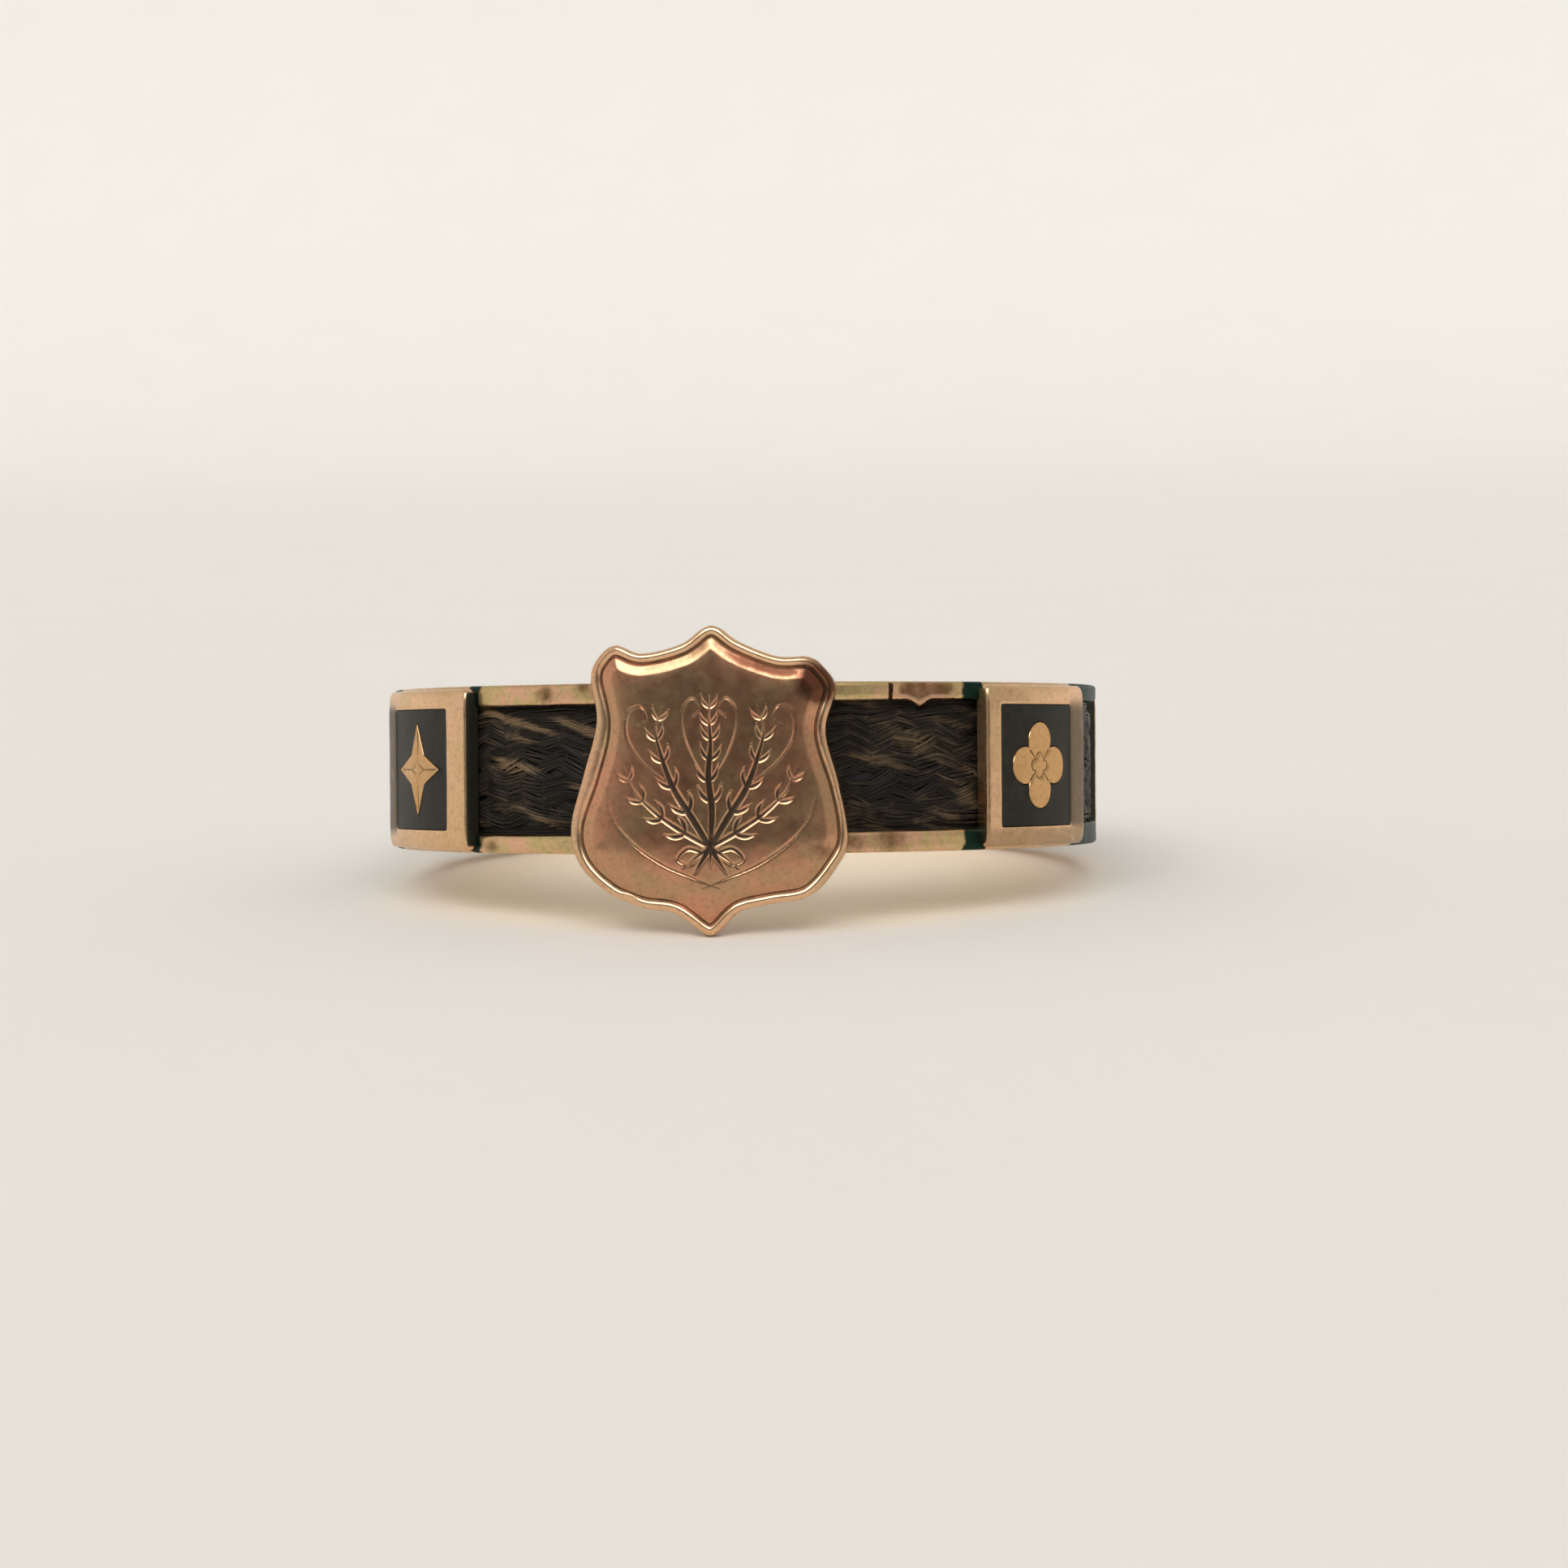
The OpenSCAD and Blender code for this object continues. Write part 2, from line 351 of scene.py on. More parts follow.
def makeChannel(finish):
    bm = bmesh.new()
    upper = [(ring["fingerRadius"], bandHalf), (railRadius, bandHalf), (railRadius, channelHalf),
             (floorRadius, channelHalf)]
    corners = [bm.verts.new((0, -r, z)) for r, z in upper + [(r, -z) for r, z in reversed(upper)]]
    bm.faces.new(corners)
    bmesh.ops.bevel(bm, geom=corners, offset=channel["edgeRound"], offset_type="OFFSET", segments=3,
                    profile=0.5, material=-1, affect="VERTICES")
    bmesh.ops.delete(bm, geom=bm.faces[:], context="FACES_ONLY")
    for edge in bm.edges[:]:
        cuts = min(10, int(edge.calc_length() / channel["pace"]))
        if cuts:
            bmesh.ops.subdivide_edges(bm, edges=[edge], cuts=cuts)
    spinRound(bm, channel["steps"])
    tarnish = bm.verts.layers.float.new("tarnish")
    patina = bm.verts.layers.float.new("patina")
    for v in bm.verts:
        angle = ringAngle(v.co)
        radius, out = outwards(v.co)
        rail = step(radius, floorRadius + 0.1, floorRadius + 0.5)
        inner = step(abs(v.co.z), bandHalf, channelHalf)      # 1 at a rail's edge by the hair
        v[tarnish] = rail * tarnishAndShadeAt(v.co, angle)
        # darker down in the channel beside the hair: patina and painted shade
        inside = 1 - step(abs(v.co.z), channelHalf, channelHalf + 0.1)
        v[patina] = inside * (1 - rail) if radius > floorRadius - 0.05 else 0.0
        if radius > railRadius - 0.2:
            v[patina] = 0.7 * stainAt(v.co, angle)
        push = noise.noise(v.co * 0.9) + 0.5 * noise.noise(v.co * 2.7)
        drop = noise.noise(v.co * 1.3 + Vector((7, 3, 1)))
        side = math.copysign(1, v.co.z)
        wide = 0.5 - 0.5 * side * math.sin(math.radians(angle))
        move = -side * inner * rail * (channel["spread"] * wide + drop * channel["waver"])
        if side > 0 and rail > 0:
            along = math.radians(angle - channel["dentAngle"]) * railRadius
            bulge = math.exp(-(along / 0.2) ** 2) * inner * rail
            move -= channel["dentDrop"] * bulge
            scoop = bruiseAt(v.co, radius, angle)
            v[patina] = max(v[patina], 0.72 * min(1.0, scoop * 1.6))
            v.co += out * (0.05 * bulge - channel["bruiseDepth"] * scoop)
        v.co += out * (push - 0.7) * channel["waver"] * rail
        v.co.z += move
    piece = settle("gold_channel", bm, finish, "band")
    crackRail(piece)


def crackRail(piece):      # the break through the upper rail, to the right of the shield
    bm = bmesh.new()
    bmesh.ops.create_cube(bm, size=1)
    bmesh.ops.scale(bm, vec=(channel["crackWidth"], 1.1, 0.9), verts=bm.verts)
    bmesh.ops.subdivide_edges(bm, edges=bm.edges[:], cuts=5, use_grid_fill=True)
    for v in bm.verts:
        v.co.x += 0.03 * noise.noise(Vector((3.1, v.co.y * 2.6, v.co.z * 5)))
        v.co.x *= 1 + 0.5 * step(v.co.z, -0.3, 0.3)
    bmesh.ops.translate(bm, vec=(0, -railRadius - 0.05, channelHalf + 0.38), verts=bm.verts)
    turn = Matrix.Rotation(math.radians(channel["crackAngle"]), 4, "Z")
    bmesh.ops.transform(bm, matrix=layDown @ turn, verts=bm.verts)
    mesh = bpy.data.meshes.new("cutter")
    bm.to_mesh(mesh)
    bm.free()
    cutter = bpy.data.objects.new("cutter", mesh)
    bpy.context.scene.collection.objects.link(cutter)
    cut = piece.modifiers.new("crack", "BOOLEAN")
    cut.operation, cut.solver, cut.object = "DIFFERENCE", "EXACT", cutter
    graph = bpy.context.evaluated_depsgraph_get()
    whole = piece.data
    piece.data = bpy.data.meshes.new_from_object(piece.evaluated_get(graph), preserve_all_data_layers=True,
                                                 depsgraph=graph)
    piece.data.name = "gold_channel"
    piece.modifiers.clear()
    bpy.data.objects.remove(cutter)
    bpy.data.meshes.remove(mesh)
    bpy.data.meshes.remove(whole)


# Plaque shapes
def squareWalk(count):      # round the edge of a square of half width 1, from its lower right corner
    side = count // 4
    share = [2 * i / side - 1 for i in range(side)]
    rightSide, topSide = [(1, s) for s in share], [(-s, 1) for s in share]
    leftSide, underSide = [(-1, -s) for s in share], [(s, -1) for s in share]
    return rightSide + topSide + leftSide + underSide


def clamp(value, most):
    return max(-most, min(most, value))


def rectLoop(halfX, halfZ, corner=0.0, middle=0.0):
    loop = []
    for a, b in squareWalk(plaque["rays"]):
        p = Vector((a * halfX, b * halfZ))
        core = Vector((clamp(p.x, halfX - corner), clamp(p.y, halfZ - corner)))
        if corner and (p - core).length:
            p = core + (p - core).normalized() * corner
        loop.append(p + Vector((middle, 0)))
    return loop


quatrefoil = {"petal": 0.5, "reach": 0.64}
star = {"reach": 1.22, "waist": 0.56}


def ornamentKind(number):
    return "quatrefoil" if number % 2 == 0 else "star"


def ornamentReach(kind, turn, grow):      # from the middle to the outline, at a turn in radians
    a = abs((turn + math.pi / 4) % (math.pi / 2) - math.pi / 4)      # from the nearest petal or point
    if kind == "quatrefoil":
        r = quatrefoil["petal"] + grow
        return quatrefoil["reach"] * math.cos(a) + math.sqrt(r * r - (quatrefoil["reach"] * math.sin(a)) ** 2)
    tip, waist = star["reach"] + 2 * grow, star["waist"] + grow
    return tip * waist * math.sin(math.pi / 4) / (tip * math.sin(a) + waist * math.sin(math.pi / 4 - a))


def ornamentLoop(kind, grow=0.0, share=1.0):
    turns = [math.atan2(b, a) for a, b in squareWalk(plaque["rays"])]
    return [Vector((math.cos(t), math.sin(t))) * ornamentReach(kind, t, grow) * share for t in turns]


def lift(loop, radius):      # stands a flat loop up in front, at this radius
    return [(p[0], -radius, p[1]) for p in loop]


def ornamentCut(kind, turn, share):      # engraved lines on the ornament's face
    a = math.degrees(abs((turn + math.pi / 4) % (math.pi / 2) - math.pi / 4))
    line = math.exp(-((45 - a) / 5) ** 2) if kind == "quatrefoil" else math.exp(-(a / 5) ** 2)
    heart = math.exp(-((share - 0.3) / 0.045) ** 2)
    return max(line * step(share, 0.3, 0.36) * (1 - step(share, 0.86, 0.95)), heart)


def makeOrnament(kind):
    top = plaqueRadius - 0.012
    stages = [[(0, -fieldRadius + 0.03, 0)] * plaque["rays"]]
    stages.append(lift(ornamentLoop(kind), fieldRadius - 0.03))
    stages.append(lift(ornamentLoop(kind), top - 0.03))
    stages.append(lift(ornamentLoop(kind, -0.02), top))
    turns = [math.atan2(b, a) for a, b in squareWalk(plaque["rays"])]
    for share in [0.92, 0.86, 0.8, 0.7, 0.6, 0.5, 0.4, 0.36, 0.33, 0.3, 0.27, 0.24, 0.16, 0.08, 0.0]:
        loop = ornamentLoop(kind, -0.02, share)
        stages.append([(p[0], -top + 0.035 * ornamentCut(kind, t, share), p[1]) for p, t in zip(loop, turns)])
    bm = rollUp(stages)
    brass = bm.verts.layers.float.new("brass")
    for v in bm.verts:
        v[brass] = 1.0
    return bm


def makePlaque(number, finish):
    far = farSides[number]
    halfX = math.radians(plaqueArcs[number] / 2) * plaqueRadius
    middle = math.radians(windowAngles[number] - plaqueAngles[number]) * plaqueRadius
    top, soft = plaqueRadius, plaque["edgeRound"]
    stages = [[(middle, -fieldRadius, 0)] * plaque["rays"]]
    for s in (0.25, 0.5, 0.75):
        stages.append(lift(rectLoop(windowHalfX * s, windowHalfZ * s, 0, middle), fieldRadius))
    for grow, corner, radius in ((0, 0.05, fieldRadius), (0, 0.05, top - 0.03), (0.012, 0.06, top - 0.006),
                                 (0.03, 0.08, top)):
        stages.append(lift(rectLoop(windowHalfX + grow, windowHalfZ + grow, corner, middle), radius))
    for share in (0.25, 0.5, 0.75):
        x = windowHalfX + (halfX - soft - windowHalfX) * share
        z = windowHalfZ + (plaqueHalfZ - soft - windowHalfZ) * share
        stages.append(lift(rectLoop(x, z, 0.1, middle * (1 - share)), top))
    for turn in (0, 22.5, 45, 67.5, 90):
        inset = soft * (1 - math.sin(math.radians(turn)))
        loop = rectLoop(halfX - inset, plaqueHalfZ - inset, plaque["cornerRound"])
        stages.append(lift(loop, top - soft * (1 - math.cos(math.radians(turn)))))
    for radius in (coverRadius + 0.24, coverRadius + 0.15, coverRadius + 0.08, coverRadius):
        stages.append(lift(rectLoop(halfX, plaqueHalfZ, plaque["cornerRound"]), radius))
    stages += [lift(rectLoop(halfX * s, plaqueHalfZ * s), coverRadius) for s in (0.75, 0.5, 0.25)]
    stages.append([(0, -coverRadius, 0)] * plaque["rays"])
    bm = rollUp(stages)
    ornament = makeOrnament(ornamentKind(number))
    bmesh.ops.translate(ornament, vec=(middle, 0, 0), verts=ornament.verts)
    join(bm, ornament)
    patina = bm.verts.layers.float.new("patina")
    film = bm.verts.layers.float.new("film")
    tarnish = bm.verts.layers.float.new("tarnish")
    seed = Vector((number * 5.3, 0, 0))
    for v in bm.verts:
        wall = max(abs(v.co.x - middle) / windowHalfX, abs(v.co.z) / windowHalfZ)
        inWindow = step(-v.co.y, top - 0.02, top - 0.06) * step(1.05, wall, wall + 0.04)
        # the plaques' end walls are darkened: patina and painted shade, and on all but the right plaque
        # tarnish and painted shade as well
        endWall = step(abs(v.co.x), halfX - 0.05, halfX)
        if number:
            v[tarnish] = 0.45 * endWall
        else:      # the right plaque's end wall is darkened half as much, fading out towards its foot
            endWall *= 0.5 * step(v.co.z, -1.6, 0.6)
        v[patina] = max(inWindow, endWall)
        # painted shade on each plaque's border away from the shield, at mid height
        v[film] = step((v.co.x - middle) * far, windowHalfX - 0.1, windowHalfX + 0.04)
        v[film] *= 1 - step(abs(v.co.z), 1.5, 1.85)
        if number == 0:
            v[film] = max(v[film], plaque["footFilm"] * step(-v.co.z, 1.58, 1.72))
        else:
            v[film] *= 1.3 if number == plaque["count"] - 1 else 0.3
        worn = noise.noise(v.co * 0.8 + seed) + 0.4 * noise.noise(v.co * 2.9 + seed)
        if -v.co.y > coverRadius + 0.12:
            v.co.y += 0.012 + 0.01 * worn + plaque["crown"] * max(0.0, (abs(v.co.z) - 1.45) / 0.6) ** 2
    bendRound(bm, plaqueAngles[number], plaqueRadius)
    settle(f"plaque_{number + 1}", bm, finish, "band")


def makeEnamel(number, finish):
    gap = 0.012
    top, floor = plaqueRadius - 0.03, fieldRadius + gap
    inner = ornamentLoop(ornamentKind(number), gap)
    outer = rectLoop(windowHalfX - gap, windowHalfZ - gap, 0.05)

    def between(share, radius):
        return lift([a.lerp(b, share) for a, b in zip(inner, outer)], radius)

    rows = [0.0, 0.03, 0.12, 0.3, 0.5, 0.7, 0.88, 0.97, 1.0]
    stages = [between(s, top - 0.012 * math.sin(math.pi * s) ** 0.5) for s in rows]
    stages += [between(s, floor) for s in reversed(rows)]
    bm = rollUp(stages + stages[:1])
    bendRound(bm, windowAngles[number], plaqueRadius)
    settle(f"black_enamel_{number + 1}", bm, finish, f"enamel_{number + 1}")


# Shield
shield = {
    "width": 7.05,
    "height": 7.8,
    "drop": 0.3,           # how far its middle lies below the band's
    "proud": 0.7,          # of the rails
    "fineness": 22,        # points between two knots
    "fieldRow": 0.027,     # from row to row across the field
    "fall": 0.033,         # how strongly the lower part bends back
    "burin": 0.045,        # deepest cut of the engraving
    "leftRim": 0.15,       # how much wider the rim is on the left, and narrower on the lower right
    "rightRim": -0.06,
    "nick": {"place": (-2.12, -3.3), "size": 0.17, "depth": 0.07, "push": 0.04},      # in the lower left rim
    "browned": [      # places on the field's slope darkened brown: x, height, size and strength; the one on the right shoulder is painted shade
        (2.7, 2.15, 0.6, 1.0), (2.85, -2.1, 0.36, 0.5), (-2.8, -1.9, 0.36, 0.42)],
    "brownBand": 0.8,      # painted brown shade along the groove, from the upper point to the right shoulder
}
shieldFace = railRadius + shield["proud"]

# Half outlines as shares of half the width and half the height: left x, left z, right x, right z
shieldKnots = [
    (0.04, 0.98, 0.06, 0.985),      # upper point
    (0.21, 0.875, 0.21, 0.89),      # slope
    (0.49, 0.82, 0.48, 0.795),      # dip
    (0.68, 0.875, 0.70, 0.79),      # top of the shoulder
    (0.80, 0.81, 0.81, 0.72),       # shoulder
    (0.87, 0.67, 0.89, 0.58),       # tip of the shoulder
    (0.83, 0.38, 0.82, 0.31),       # waist
    (0.93, 0.04, 0.91, -0.03),      # flare
    (1.03, -0.30, 0.97, -0.37),     # widest
    (0.965, -0.545, 0.89, -0.56),   # lobe
    (0.75, -0.73, 0.70, -0.75),     # end of the lobe
    (0.51, -0.82, 0.42, -0.80),     # hollow
    (0.27, -0.855, 0.20, -0.85),    # slope
    (0.05, -0.9895, 0.04, -0.98),   # lower point
]

# Cross-section from the edge inwards: how far in, and how far below the face
shieldRim = [
    (0.0, 0.27), (0.0, 0.2), (0.018, 0.158), (0.048, 0.126), (0.085, 0.109), (0.125, 0.104), (0.165, 0.111),
    (0.2, 0.126), (0.224, 0.148), (0.242, 0.168), (0.258, 0.172), (0.274, 0.16), (0.29, 0.14), (0.306, 0.124),
    (0.335, 0.112), (0.385, 0.092), (0.44, 0.069), (0.495, 0.05), (0.55, 0.036),
]

# A spray of leafy stems. Each stroke swells to its width in millimetres, has so many pairs of leaves,
# and may be cut a second time the other way round.
engraving = {
    "middleStem": {"width": 0.22, "leaves": 6, "mirrored": False, "route": [
        (0.0, -2.5), (0.02, -1.8), (0.05, -1.0), (-0.03, -0.2), (0.03, 0.6), (0.0, 1.2), (0.01, 1.8)]},
    "sideStem": {"width": 0.22, "leaves": 5, "mirrored": True, "route": [
        (0.46, -2.72), (0.1, -2.15), (-0.42, -1.3), (-0.92, -0.5), (-1.22, 0.3), (-1.36, 0.95),
        (-1.2, 1.55)]},
    "lowStem": {"width": 0.16, "leaves": 4, "mirrored": True, "route": [
        (0.7, -2.5), (0.1, -2.05), (-0.65, -1.62), (-1.35, -1.15), (-1.9, -0.6), (-2.2, 0.02)]},
    "tendril": {"width": 0.07, "leaves": 0, "mirrored": True, "route": [
        (-1.0, -0.4), (-1.7, 0.15), (-2.1, 0.8), (-2.06, 1.4), (-1.74, 1.56), (-1.6, 1.24), (-1.84, 1.06)]},
    "curl": {"width": 0.07, "leaves": 0, "mirrored": True, "route": [
        (-0.06, -0.3), (-0.42, 0.3), (-0.66, 0.95), (-0.66, 1.5), (-0.42, 1.76), (-0.24, 1.5), (-0.42, 1.3)]},
    "tie": {"width": 0.13, "leaves": 0, "mirrored": True, "route": [
        (0.3, -1.96), (-0.1, -2.12), (-0.55, -2.02), (-0.82, -2.28), (-0.5, -2.42), (-0.08, -2.14)]},
    "sweep": {"width": 0.1, "leaves": 0, "mirrored": True, "route": [
        (0.2, -2.98), (-0.5, -2.72), (-1.2, -2.42), (-1.9, -1.95), (-2.45, -1.35), (-2.62, -0.8)]},
}
leaf = {"length": 0.6, "width": 0.16, "taper": 0.9, "turn": 0.6, "shrink": 0.35}


def shieldOutline():
    halfX, halfZ = shield["width"] / 2, shield["height"] / 2
    knots = [(k[2] * halfX, k[3] * halfZ) for k in shieldKnots]
    knots += [(-k[0] * halfX, k[1] * halfZ) for k in reversed(shieldKnots)]
    return np.array([tuple(p) for p in through(knots, shield["fineness"], closed=True)])


def rimExtra(x, z):
    left = shield["leftRim"] * step(-x, 1.6, 2.8) * math.exp(-((z - 0.4) / 1.8) ** 2)
    return left + shield["rightRim"] * step(x, 1.6, 2.8) * math.exp(-((z + 0.7) / 1.1) ** 2)


class Insets:      # loops at even distances inside an outline, each point on its own ray to the middle
    def __init__(self, outline):
        self.outline = outline
        self.extra = np.array([rimExtra(x, z) for x, z in outline])
        self.shares = np.linspace(0, 0.62, 110)
        start, run = outline, np.roll(outline, -1, axis=0) - outline
        length = (run ** 2).sum(1)
        rows = []
        for share in self.shares:
            p = outline * (1 - share)
            along = np.clip(((p[:, None] - start[None]) * run[None]).sum(2) / length[None], 0, 1)
            gap = p[:, None] - start[None] - along[..., None] * run[None]
            rows.append(np.sqrt((gap ** 2).sum(2)).min(1))
        self.depths = np.maximum.accumulate(np.array(rows), axis=0).T + self.shares * 1e-6

    def loop(self, depth):
        wide = depth + self.extra * step(depth, 0.0, 0.2) * (1 - step(depth, 0.5, 1.2))
        share = np.array([np.interp(d, row, self.shares) for d, row in zip(wide, self.depths)])
        return self.outline * (1 - share)[:, None]


def standShield(loop, radius):      # flat points pushed out to a radius; x keeps its width
    return [(x, -math.sqrt(radius ** 2 - x ** 2), z - shield["drop"]) for x, z in loop]


def leafRoutes(line, count):      # pairs of leaves along a sprig, smaller towards its tip
    routes = []
    for k in range(count):
        share = (k + 0.5) / count
        i = int(len(line) * (0.3 + 0.66 * share))
        ahead = line[i + 1] - line[i]
        size = leaf["length"] * (1 - leaf["shrink"] * share)
        for side in (-1, 1):
            turn = math.atan2(ahead.y, ahead.x) + side * leaf["turn"]
            knots = []
            for swing, reach in ((0, 0.06), (0.14, 0.55), (-0.05, 1)):
                way = Vector((math.cos(turn + side * swing), math.sin(turn + side * swing)))
                knots.append(line[i] + way * reach * size)
            routes.append((through(knots, 20), leaf["width"] * (1 - 0.35 * share), leaf["taper"]))
    return routes


def engravingCuts():      # samples along every stroke, with half the stroke's width at each
    samples = []
    for stroke in engraving.values():
        for side in (1, -1) if stroke["mirrored"] else (1,):
            line = through([(side * x, z) for x, z in stroke["route"]], 60)
            for route, width, taper in [(line, stroke["width"], 1.0)] + leafRoutes(line, stroke["leaves"]):
                for k, p in enumerate(route):
                    swell = math.sin(math.pi * (k / (len(route) - 1)) ** 0.7) ** taper
                    samples.append((p.x, p.y, max(0.02, width * swell / 2)))
    return samples


def makeShield(finish):
    outline = shieldOutline()
    insets = Insets(outline)
    lip, edgeBelow = shieldRim[-1]
    turnIn = 1.25      # from here the rows shrink evenly to the middle
    widestCut = 0.14      # from a stroke's middle to its edge, at most

    def dome(depth):
        return shieldFace - edgeBelow * math.exp(-(depth - lip) / 0.4)

    stages = [standShield(outline * s, coverRadius) for s in (0.0, 0.3, 0.6, 0.85, 1.0)]
    stages.append(standShield(outline, coverRadius + 0.25))
    stages += [standShield(insets.loop(depth), shieldFace - below) for depth, below in shieldRim]
    rows = int((turnIn - lip) / shield["fieldRow"])
    for k in range(1, rows + 1):
        depth = lip + (turnIn - lip) * k / rows
        stages.append(standShield(insets.loop(depth), dome(depth)))
    inner = insets.loop(turnIn)
    reach = np.sqrt((inner ** 2).sum(1)).mean()
    rows = int(reach / shield["fieldRow"])
    for k in range(1, rows + 1):
        share = 1 - k / rows
        stages.append(standShield(inner * share, dome(turnIn + reach * (1 - share))))
    bm = rollUp(stages)

    cuts = engravingCuts()
    strokes = kdtree.KDTree(len(cuts))
    for i, (x, z, _) in enumerate(cuts):
        strokes.insert((x, z, 0), i)
    strokes.balance()
    rim = kdtree.KDTree(len(outline))
    for i, (x, z) in enumerate(outline):
        rim.insert((x, z - shield["drop"], 0), i)
    rim.balance()
    patina = bm.verts.layers.float.new("patina")
    brown = bm.verts.layers.float.new("brown")
    pale = bm.verts.layers.float.new("pale")
    nick = shield["nick"]
    for v in bm.verts:
        radius, out = outwards(v.co)
        flat = Vector((v.co.x, v.co.z, 0))
        front = step(radius, coverRadius + 0.2, coverRadius + 0.4)
        below = shieldFace - radius
        fromEdge = rim.find(flat)[2]
        inwards = fromEdge - rimExtra(flat.x, flat.y + shield["drop"])
        # painted highlight on the rim, weaker on the flanks
        v[pale] = front * (1 - step(inwards, 0.19, 0.24)) * (1 - 0.4 * step(abs(flat.x), 2.4, 2.9))
        if below < 0.04:      # on the field
            deep = 0.0
            for _, i, away in strokes.find_range(flat, widestCut):
                deep = max(deep, cuts[i][2] - away)
            deep = min(deep * 0.5, shield["burin"])
            v[patina] = 0.86 * step(deep, 0.002, 0.024)
            v.co -= out * deep
        elif fromEdge > 0.15:      # dirt in the groove
            v[patina] = 0.65 * step(below, 0.12, 0.16)
        # painted brown shade along the upper right slope and on the right shoulder, dimming the highlight
        # there; the lower lobes are darkened brown too
        band = step(flat.x, 0.15, 0.7) * (1 - step(flat.x, 2.0, 2.6)) * step(flat.y, 1.5, 2.0)
        v[brown] = front * shield["brownBand"] * band * math.exp(-((inwards - 0.4) / 0.13) ** 2)
        for x, z, size, strength in shield["browned"]:
            away = (flat.xy - Vector((x, z))).length
            v[brown] = max(v[brown], front * strength * math.exp(-(away / size) ** 2))
        worn = noise.noise(v.co * 0.55 + Vector((0, 0, 4))) + 0.35 * noise.noise(v.co * 1.7)
        bend = shield["fall"] * max(0.0, -v.co.z - 1.85) ** 1.6
        v.co -= out * front * (0.012 + 0.008 * worn + bend)
        hit = math.exp(-((flat.xy - Vector(nick["place"])).length / nick["size"]) ** 2) * front
        v.co -= out * nick["depth"] * hit
        v.co.z += nick["push"] * hit
    settle("shield_plate", bm, finish, "band", 50)


# Hair
hair = {
    "bundles": 16,
    "hairs": 8,            # in each bundle
    "turns": 3,            # times a bundle crosses over and back on its way round the ring
    "sway": 1.5,           # how far a bundle swings from the middle
    "lift": 0.04,          # how far it rises and dips where bundles cross
    "loose": 0.07,         # how unevenly it was woven, as a share of a turn
    "radius": 9.54,
    "bundleWidth": 0.44,
    "thickness": 0.066,
    "along": 0.2,          # from point to point
    "shieldCover": 15,     # degrees hidden behind the shield
    "tuck": 1.2,           # degrees that the strands run on under a plaque
    "strays": 0.16,
    "sideHairs": 5,        # straight ones along each rail
}


def makeHairCore(finish):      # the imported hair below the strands
    half, low, high = channelHalf - 0.01, floorRadius + 0.03, hair["radius"] - 0.05
    bm = bmesh.new()
    corners = [bm.verts.new((0, -r, z)) for r, z in ((low, half), (high, half), (high, -half), (low, -half))]
    bm.faces.new(corners)
    bmesh.ops.bevel(bm, geom=corners[1:3], offset=0.08, offset_type="OFFSET", segments=3, profile=0.5,
                    material=-1, affect="VERTICES")
    bmesh.ops.delete(bm, geom=bm.faces[:], context="FACES_ONLY")
    longest = max(bm.edges, key=lambda e: e.calc_length() * (abs(e.verts[0].co.y) > high - 0.01))
    bmesh.ops.subdivide_edges(bm, edges=[longest], cuts=30)
    spinRound(bm, 600)
    for v in bm.verts:
        radius, out = outwards(v.co)
        if radius > high - 0.05:
            arc = math.radians(ringAngle(v.co)) * radius
            v.co += out * 0.03 * noise.noise(Vector((arc * 1.2 + v.co.z * 4, v.co.z * 9, 2)))
    settle("hair_core", bm, finish, "hair_weave", 80)


def overUnder(turn):      # 1 where a bundle lies on top, -1 where it dips under another
    turn = (turn + 0.5) % 1 - 0.5
    count, away = hair["bundles"], min(abs(turn), 0.5 - abs(turn))
    if away < 0.5 / count:
        return -math.copysign(1, turn) * math.sin(math.pi * count * away) * (1 if abs(turn) < 0.25 else -1)
    return math.copysign(1, turn) * math.cos(2 * math.pi * count * abs(turn))


def hairWindows():      # the stretches of hair that show, in degrees from the shield
    ends = [hair["shieldCover"]]
    for a, arc in zip(plaqueAngles, plaqueArcs):
        ends += [a - arc / 2 + hair["tuck"], a + arc / 2 - hair["tuck"]]
    ends.append(360 - hair["shieldCover"])
    return list(zip(ends[0::2], ends[1::2]))


def plaited(angle, bundle, across, seed, stray):      # where a bundle's hair lies at an angle: height, radius
    turn = angle / 360 * hair["turns"] + bundle / hair["bundles"]
    arc = math.radians(angle) * hair["radius"]
    slack = hair["loose"] * noise.noise(Vector((arc * 0.5, bundle * 2.3, 1)))
    swing = 2 / math.pi * math.asin(0.985 * math.cos(2 * math.pi * (turn + slack)))
    loose = Vector((arc * 0.9, 0, 0)) + seed
    shove = 0.12 * noise.noise(Vector((arc * 0.45, bundle * 2.3, 5)))
    z = hair["sway"] * swing + across * hair["bundleWidth"] / 2 + shove
    z += (0.11 if stray else 0.035) * noise.noise(loose)
    r = hair["radius"] + hair["lift"] * overUnder(turn) + 0.045 * (1 - across ** 2)
    r += (0.035 if stray else 0.014) * noise.noise(loose * 1.4 + Vector((0, 0, 9)))
    return z, r


def straight(angle, side, place, seed):      # a hair that runs along a rail
    loose = Vector((math.radians(angle) * hair["radius"] * 0.8, 0, 0)) + seed
    z = side * (channelHalf - 0.05 - 0.055 * place) + 0.03 * noise.noise(loose)
    return z, hair["radius"] - 0.01 - 0.008 * place + 0.02 * noise.noise(loose * 1.3)


